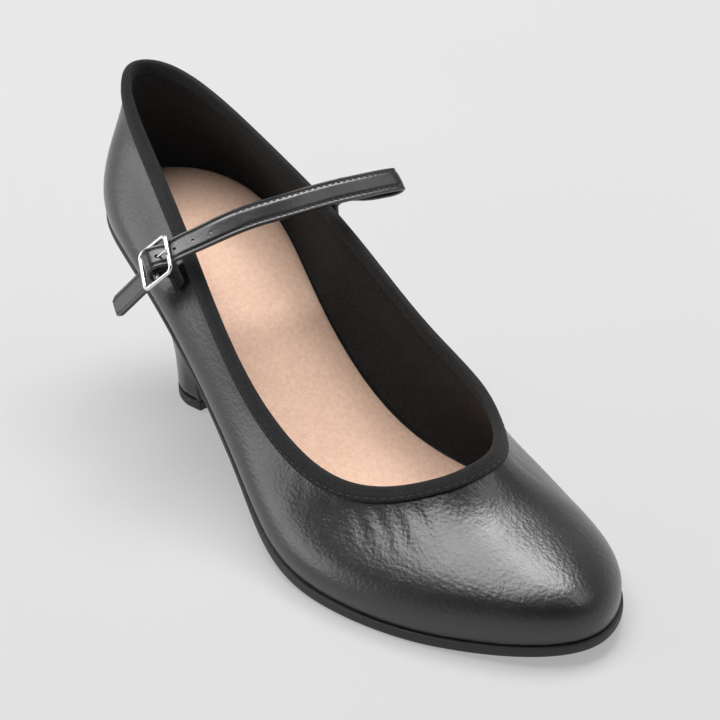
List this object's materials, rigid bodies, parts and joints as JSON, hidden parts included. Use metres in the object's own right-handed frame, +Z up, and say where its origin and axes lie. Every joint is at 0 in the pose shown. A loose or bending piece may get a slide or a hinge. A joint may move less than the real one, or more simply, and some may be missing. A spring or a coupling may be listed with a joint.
{
  "type": "character shoe",
  "caption": "Character shoe for the right foot, with a hollow closed-toe upper, a taped top edge, a flared heel and a buckled instep strap.",
  "frame": {"origin": "on the floor, inside the rest face of the heel tip, on the shoe's middle line", "axes": "+Z up, -Y to the toe, +X to the inner (medial) side of the foot"},
  "size_m": [0.0918, 0.2283, 0.1073],
  "materials": {
    "upper_leather": "black fine-grained synthetic leather, semi-gloss",
    "woven_tape": "black woven binding tape, matt",
    "sole_rubber": "black, satin edge",
    "insole_suede": "rose-beige microfibre, matt",
    "heel_cover": "black synthetic leather drawn over the heel, semi-gloss",
    "tip_rubber": "black, matt",
    "strap_leather": "black, glossy, stitched edges",
    "chape_elastic": "black elastic tape, matt",
    "buckle_metal": "polished nickel"
  },
  "bodies": {
    "root": {"upper": "upper_leather", "topline_binding": "woven_tape", "outsole": "sole_rubber", "insole": "insole_suede", "heel": "heel_cover", "heel_tip": "tip_rubber", "strap": "strap_leather", "buckle_chape": "chape_elastic", "buckle_frame": "buckle_metal", "buckle_prong": "buckle_metal"}
  },
  "joints": []
}
